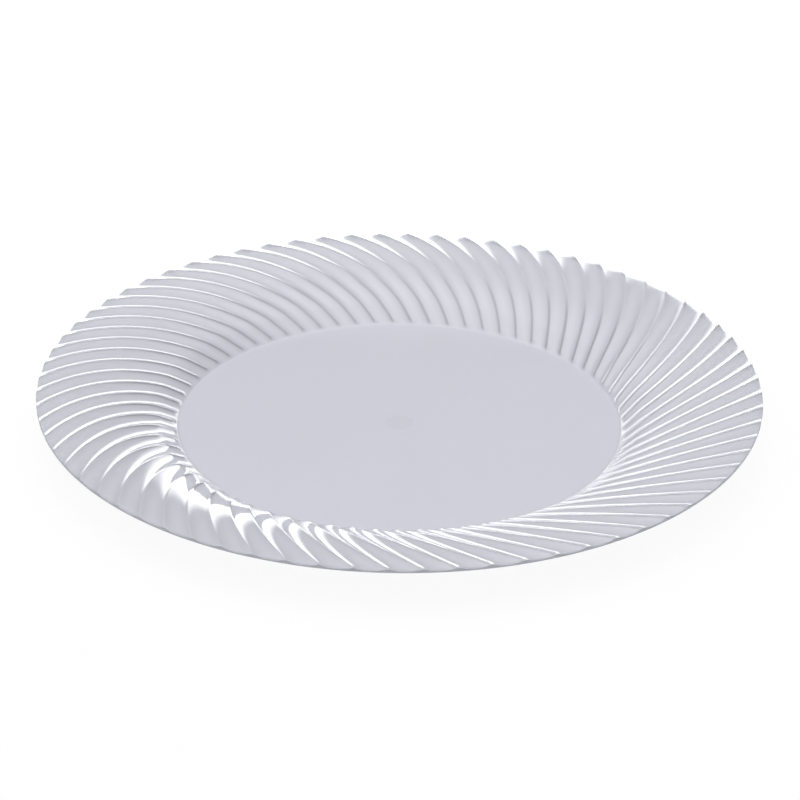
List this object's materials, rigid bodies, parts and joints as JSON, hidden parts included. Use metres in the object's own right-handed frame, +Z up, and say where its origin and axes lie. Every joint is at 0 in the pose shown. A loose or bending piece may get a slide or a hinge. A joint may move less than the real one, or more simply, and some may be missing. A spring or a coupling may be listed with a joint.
{
  "type": "disposable plastic plate",
  "caption": "Shallow round plate of clear plastic with a flat well and a broad rim covered in swirled flutes, for serving one meal.",
  "frame": {"origin": "centre of the flat face that the plate rests on", "axes": "+Z up through the middle of the well; +X through a crest of the flutes at the rim's edge"},
  "size_m": [0.26, 0.26, 0.0167],
  "materials": {
    "clear_plastic": "clear, glossy, moulded"
  },
  "bodies": {
    "root": {"plate": "clear_plastic"}
  },
  "joints": []
}
